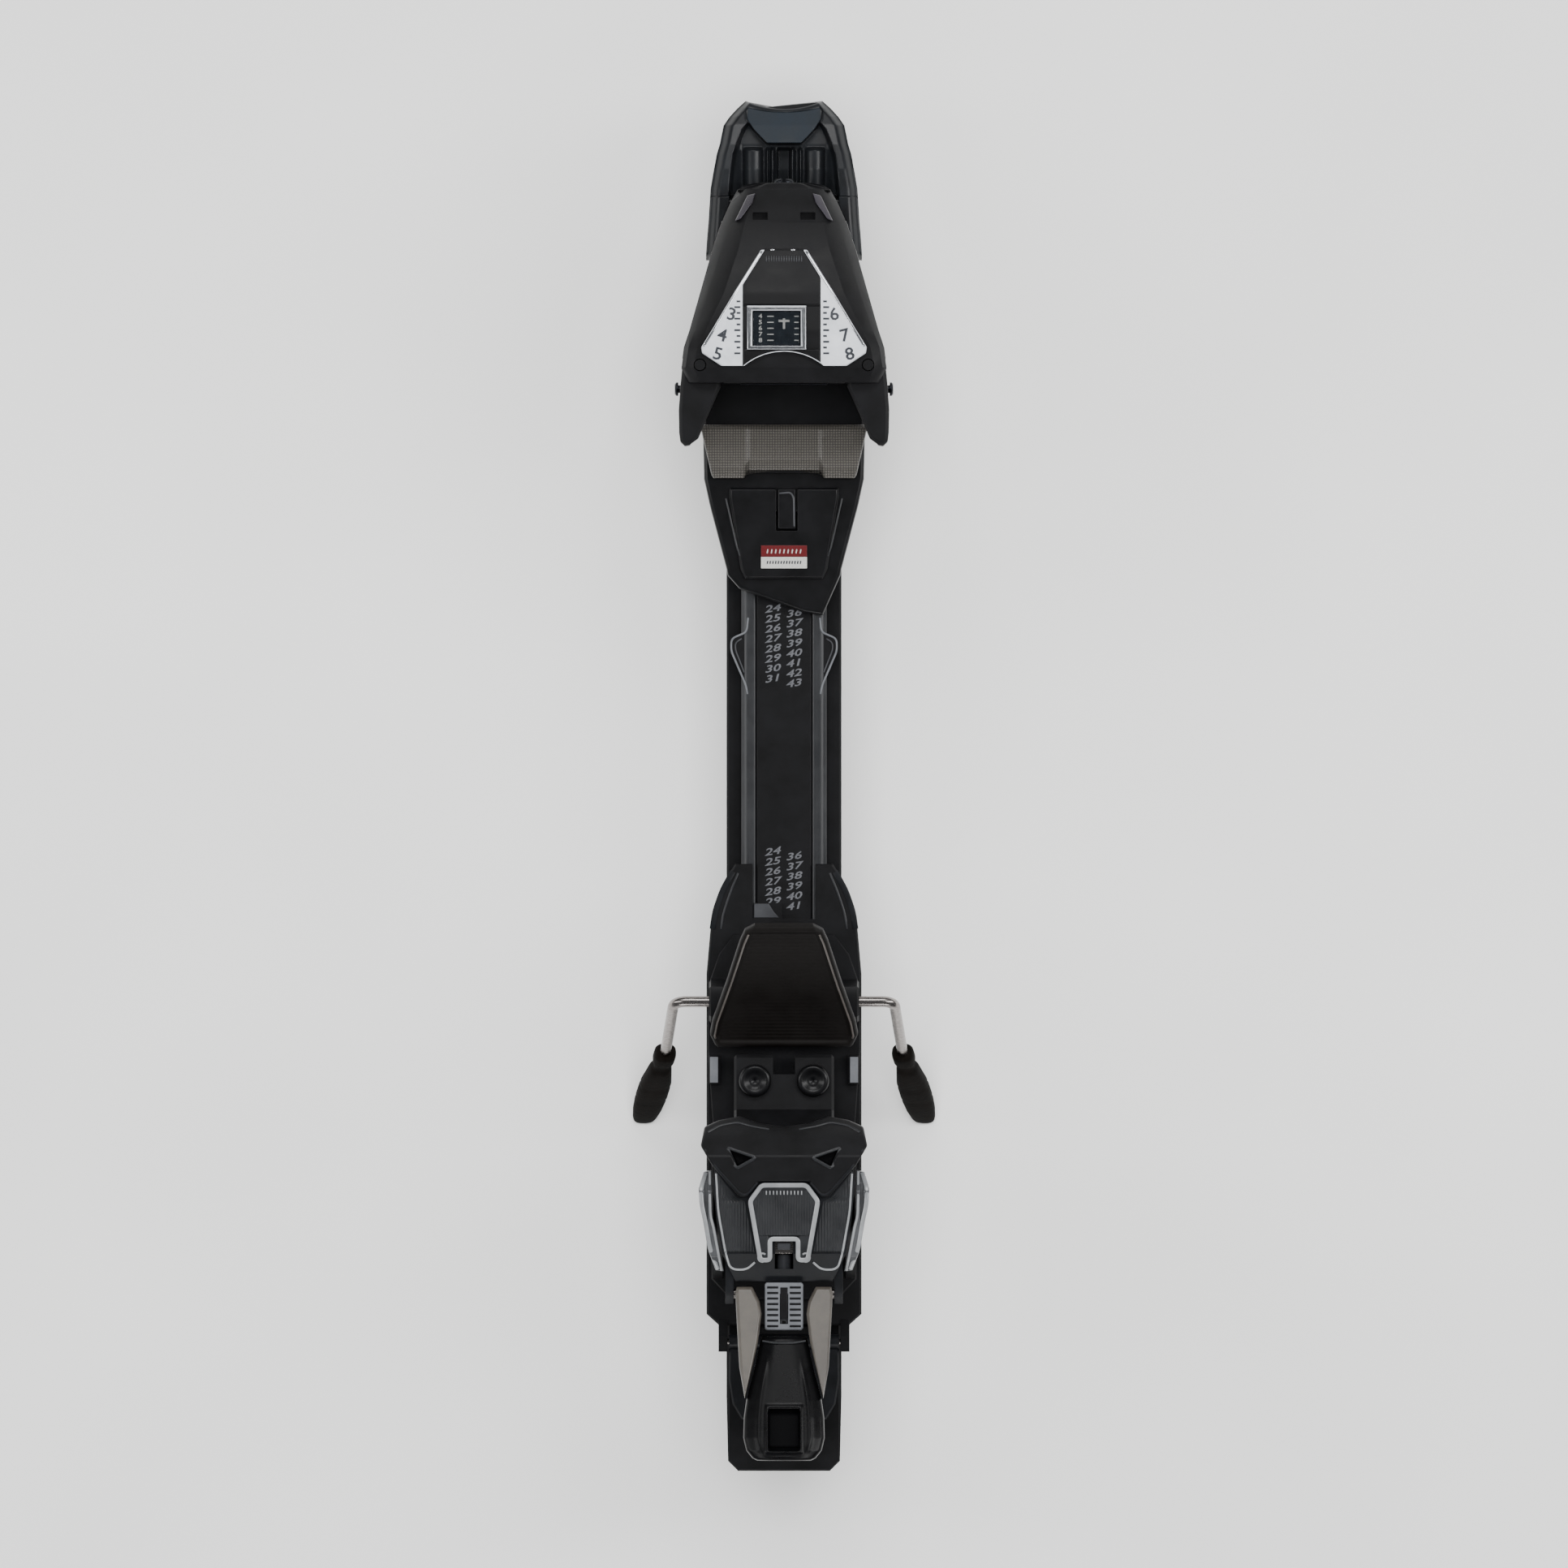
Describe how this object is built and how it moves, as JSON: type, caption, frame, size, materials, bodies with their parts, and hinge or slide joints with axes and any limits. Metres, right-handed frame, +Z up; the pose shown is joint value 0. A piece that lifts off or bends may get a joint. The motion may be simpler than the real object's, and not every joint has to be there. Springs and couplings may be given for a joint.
{
  "type": "alpine ski binding on adjustable track",
  "caption": "Alpine ski binding on a sliding track: toe unit with two release wings and sliding toe rest, length scale, ski brake and heel unit with step-in jaw and lever.",
  "frame": {"origin": "on the ski deck face under the middle of the track, on the binding's centre line", "axes": "+X to the right seen from above with the toe ahead, +Y towards the ski tip, +Z up from the deck"},
  "size_m": [0.1222, 0.5485, 0.1621],
  "materials": {
    "moulded_black": "fine matt grain",
    "soft_black": "soft matt",
    "anthracite": "satin",
    "mauve_grey": "satin paint",
    "smoke_grey": "satin silver grey",
    "taupe": "textured satin",
    "silver": "brushed",
    "chrome": "polished",
    "steel": "plain steel",
    "spring_steel": "dark spring steel",
    "knob_grey": "ribbed",
    "pointer_white": "matt",
    "window": "clear polycarbonate",
    "label": "printed film"
  },
  "bodies": {
    "track": {"track_base": "moulded_black", "length_scale_strip": "soft_black", "track_end_stop": "anthracite", "track_screw_front": "spring_steel", "track_screw_middle": "spring_steel", "track_screw_rear": "spring_steel"},
    "toe_unit": {"toe_slide_plate": "moulded_black", "toe_slide_cover": "anthracite", "toe_label": "label", "toe_nose_cover": "anthracite", "toe_housing": "moulded_black", "toe_top_plate": "silver", "toe_window_frame": "chrome", "toe_window_pane": "window", "toe_shoulder_trim_left": "mauve_grey", "toe_shoulder_trim_right": "mauve_grey", "toe_spring": "spring_steel", "wing_pin_left": "steel", "wing_pin_right": "steel", "toe_rest_guide": "moulded_black"},
    "toe_latch": {"toe_length_latch": "moulded_black"},
    "toe_rest": {"toe_rest_plate": "taupe"},
    "wing_left": {"toe_wing_left": "moulded_black", "wing_stud_left": "steel"},
    "wing_right": {"toe_wing_right": "moulded_black", "wing_stud_right": "steel"},
    "toe_draw": {"toe_draw_rod": "steel"},
    "toe_screw": {"toe_setting_screw": "steel"},
    "toe_nut": {"toe_spring_nut": "steel", "toe_pointer": "pointer_white"},
    "heel_carriage": {"heel_slide_plate": "moulded_black", "heel_latch_pin": "steel"},
    "heel_latch": {"heel_length_latch": "anthracite"},
    "heel_unit": {"heel_base": "moulded_black", "heel_pivot_pin": "steel", "forward_pressure_spring": "spring_steel", "brake_base": "moulded_black", "brake_spring": "spring_steel"},
    "brake": {"brake_arm_left": "steel", "brake_arm_right": "steel", "brake_tip_left": "soft_black", "brake_tip_right": "soft_black"},
    "pedal": {"brake_pedal": "soft_black"},
    "heel_jaw": {"heel_housing": "anthracite", "heel_cup": "moulded_black", "heel_side_shell_left": "smoke_grey", "heel_side_shell_right": "smoke_grey", "heel_top_cover": "smoke_grey", "heel_treadle": "moulded_black", "heel_spring": "spring_steel", "heel_scale_plate": "knob_grey", "lever_pin_left": "steel", "lever_pin_right": "steel"},
    "heel_piston": {"heel_plunger": "steel"},
    "heel_screw": {"heel_setting_screw": "knob_grey"},
    "heel_nut": {"heel_spring_nut": "steel", "heel_pointer": "pointer_white"},
    "lever": {"heel_lever": "moulded_black", "lever_plate_left": "taupe", "lever_plate_right": "taupe"}
  },
  "joints": [
    {"name": "toe_position", "type": "slide", "parent": "track", "child": "toe_unit", "axis": [0, 1, 0], "range_m": [-0.024, 0.01]},
    {"name": "toe_latch_lift", "type": "hinge", "parent": "toe_unit", "child": "toe_latch", "pos_m": [0, 0.111, 0.0176], "axis": [-1, 0, 0], "range_deg": [0, 12], "stiffness_Nm_per_rad": 0.3, "springref_deg": -17.19},
    {"name": "toe_rest_shift", "type": "slide", "parent": "toe_unit", "child": "toe_rest", "axis": [1, 0, 0], "range_m": [-0.006, 0.006], "stiffness_N_per_m": 3000},
    {"name": "wing_left_swing", "type": "hinge", "parent": "toe_unit", "child": "wing_left", "pos_m": [-0.0335, 0.161, 0.024], "axis": [0, 0, -1], "range_deg": [0, 25], "stiffness_Nm_per_rad": 30, "springref_deg": -20.05},
    {"name": "wing_right_swing", "type": "hinge", "parent": "toe_unit", "child": "wing_right", "pos_m": [0.0335, 0.161, 0.024], "axis": [0, 0, 1], "range_deg": [0, 25], "stiffness_Nm_per_rad": 30, "springref_deg": -20.05},
    {"name": "toe_draw_slide", "type": "slide", "parent": "toe_unit", "child": "toe_draw", "axis": [0, -1, 0], "range_m": [0, 0.007], "stiffness_N_per_m": 20000, "springref_m": -0.004, "deforming": ["toe_spring"]},
    {"name": "toe_screw_turn", "type": "hinge", "parent": "toe_unit", "child": "toe_screw", "pos_m": [0, 0.1995, 0.031], "axis": [0, 1, 0], "range_deg": [-1441, 577]},
    {"name": "toe_nut_travel", "type": "slide", "parent": "toe_unit", "child": "toe_nut", "axis": [0, 1, 0], "range_m": [-0.005, 0.002]},
    {"name": "heel_position", "type": "slide", "parent": "track", "child": "heel_carriage", "axis": [0, 1, 0], "range_m": [-0.012, 0.024]},
    {"name": "heel_latch_lift", "type": "hinge", "parent": "heel_carriage", "child": "heel_latch", "pos_m": [0, -0.229, 0.0144], "axis": [-1, 0, 0], "range_deg": [0, 10], "stiffness_Nm_per_rad": 0.3, "springref_deg": -22.92},
    {"name": "forward_pressure", "type": "slide", "parent": "heel_carriage", "child": "heel_unit", "axis": [0, -1, 0], "range_m": [0, 0.006], "stiffness_N_per_m": 20000, "springref_m": -0.002, "deforming": ["forward_pressure_spring"]},
    {"name": "brake_swing", "type": "hinge", "parent": "heel_unit", "child": "brake", "pos_m": [0, -0.093, 0.018], "axis": [-1, 0, 0], "range_deg": [0, 64], "stiffness_Nm_per_rad": 0.8, "springref_deg": -34.38, "deforming": ["brake_spring"]},
    {"name": "pedal_swing", "type": "hinge", "parent": "heel_unit", "child": "pedal", "pos_m": [0, -0.11, 0.024], "axis": [-1, 0, 0], "range_deg": [0, 30.01]},
    {"name": "jaw_swing", "type": "hinge", "parent": "heel_unit", "child": "heel_jaw", "pos_m": [0, -0.178, 0.04], "axis": [1, 0, 0], "range_deg": [0, 30], "stiffness_Nm_per_rad": 30, "springref_deg": -17.19, "deforming": ["heel_spring"]},
    {"name": "piston_travel", "type": "slide", "parent": "heel_jaw", "child": "heel_piston", "axis": [0, -1, 0], "range_m": [0, 0.00601]},
    {"name": "heel_screw_turn", "type": "hinge", "parent": "heel_jaw", "child": "heel_screw", "pos_m": [0, -0.1886, 0.062], "axis": [0, -1, 0], "range_deg": [-865, 865]},
    {"name": "heel_nut_travel", "type": "slide", "parent": "heel_jaw", "child": "heel_nut", "axis": [0, -1, 0], "range_m": [-0.003, 0.003]},
    {"name": "lever_swing", "type": "hinge", "parent": "heel_jaw", "child": "lever", "pos_m": [0, -0.209, 0.062], "axis": [1, 0, 0], "range_deg": [0, 8], "stiffness_Nm_per_rad": 2, "springref_deg": -17.19}
  ],
  "couplings": [
    {"joint": "toe_screw_turn", "follows": "toe_nut_travel", "rad_per_m": 5026.5},
    {"joint": "pedal_swing", "follows": "brake_swing", "ratio": 0.46875},
    {"joint": "piston_travel", "follows": "jaw_swing", "m_per_rad": 0.011459},
    {"joint": "heel_screw_turn", "follows": "heel_nut_travel", "rad_per_m": 5026.5}
  ]
}
